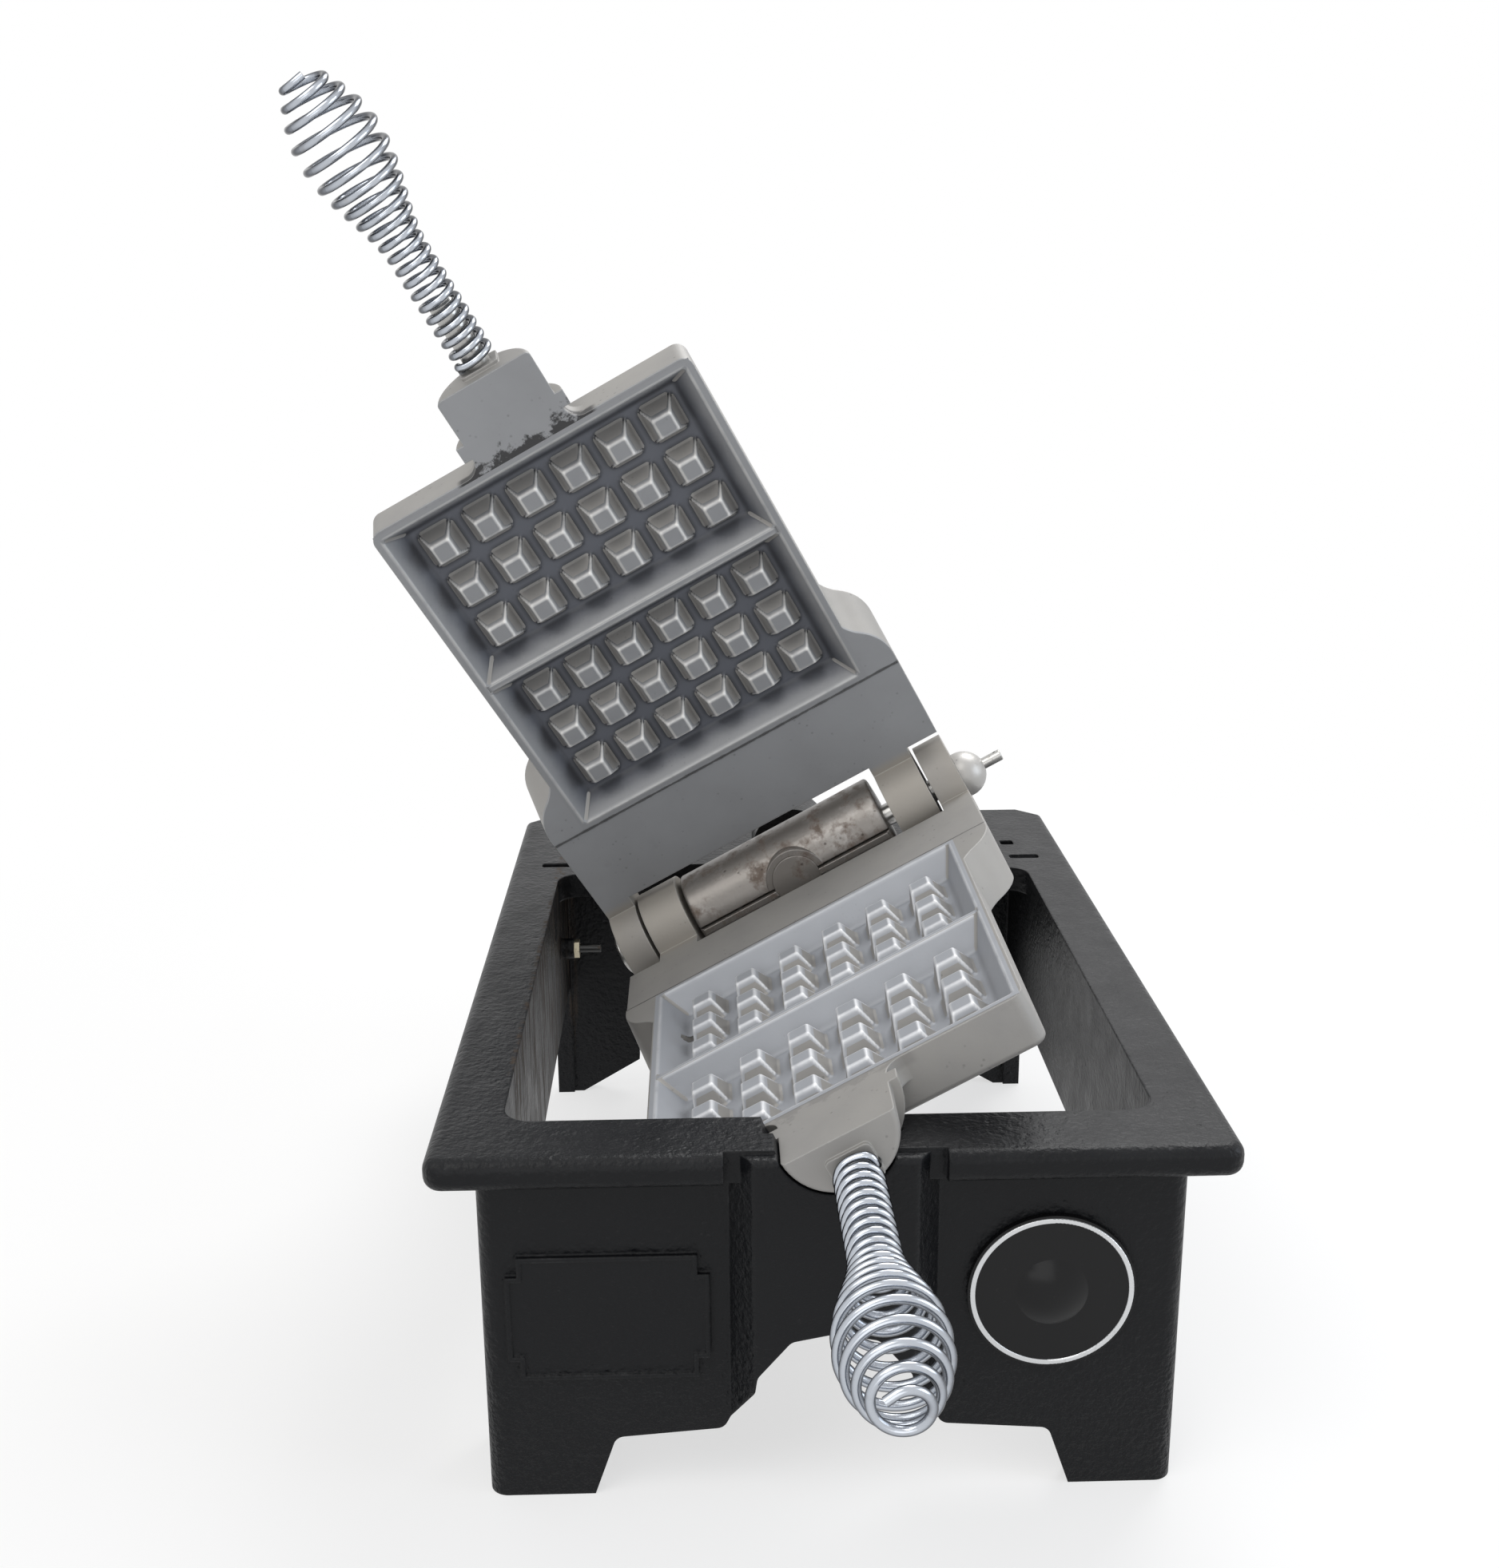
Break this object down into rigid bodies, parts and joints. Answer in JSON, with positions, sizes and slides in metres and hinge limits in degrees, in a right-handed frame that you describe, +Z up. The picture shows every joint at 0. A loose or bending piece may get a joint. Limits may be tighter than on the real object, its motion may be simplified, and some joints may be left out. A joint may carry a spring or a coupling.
{
  "type": "flip-over waffle iron on a stand",
  "caption": "Flip-over cast waffle iron, two hinged grid plates with coiled wire handles, rolling in an open cast-iron stand.",
  "frame": {"origin": "centre of the stand's flange outline, dropped to the surface it stands on", "axes": "+Z up, +Y from the handles to the rear bearing along the roll axis, +X to the right as seen from the handles"},
  "size_m": [0.3978, 0.6232, 0.5866],
  "materials": {
    "painted_cast_iron": "black satin paint on rough sand-cast iron",
    "badge_enamel": "gloss black enamel",
    "badge_silver": "bright raised ring",
    "bright_steel": "dulled zinc-plated steel",
    "pin_steel": "worn turned steel",
    "bare_cast_iron": "bare machined cast iron, browned by heat",
    "cast_aluminium": "satin heat-greyed casting",
    "chrome_wire": "chromed spring wire"
  },
  "bodies": {
    "stand": {"base_frame": "painted_cast_iron", "badge_disc": "badge_enamel", "badge_ring": "badge_silver", "badge_boss": "badge_enamel", "badge_rivets": "bright_steel", "side_screw": "bright_steel", "side_nut": "bright_steel"},
    "trunnion": {"trunnion_cap": "bare_cast_iron", "trunnion_base": "bare_cast_iron", "trunnion_screws": "bright_steel", "trunnion_stem": "bare_cast_iron", "stem_washer": "bright_steel", "stem_cotter": "bright_steel", "hinge_pin": "pin_steel", "hinge_pin_washer": "bright_steel", "hinge_ball_nut": "cast_aluminium"},
    "lower_half": {"lower_grid": "cast_aluminium", "lower_handle_stud": "pin_steel", "lower_handle_spring": "chrome_wire"},
    "upper_half": {"upper_grid": "cast_aluminium", "upper_handle_stud": "pin_steel", "upper_handle_spring": "chrome_wire"}
  },
  "joints": [
    {"name": "roll", "type": "hinge", "parent": "stand", "child": "trunnion", "pos_m": [0, 0.099, 0.1724], "axis": [0, -1, 0], "range_deg": [-68, 10]},
    {"name": "upper_opening", "type": "hinge", "parent": "lower_half", "child": "upper_half", "pos_m": [0, 0.099, 0.1724], "axis": [-0.878, 0, -0.4787], "range_deg": [-71.9, 3]},
    {"name": "lower_lift", "type": "hinge", "parent": "trunnion", "child": "lower_half", "pos_m": [0, 0.099, 0.1724], "axis": [-0.878, 0, -0.4787], "range_deg": [0, 5]}
  ]
}
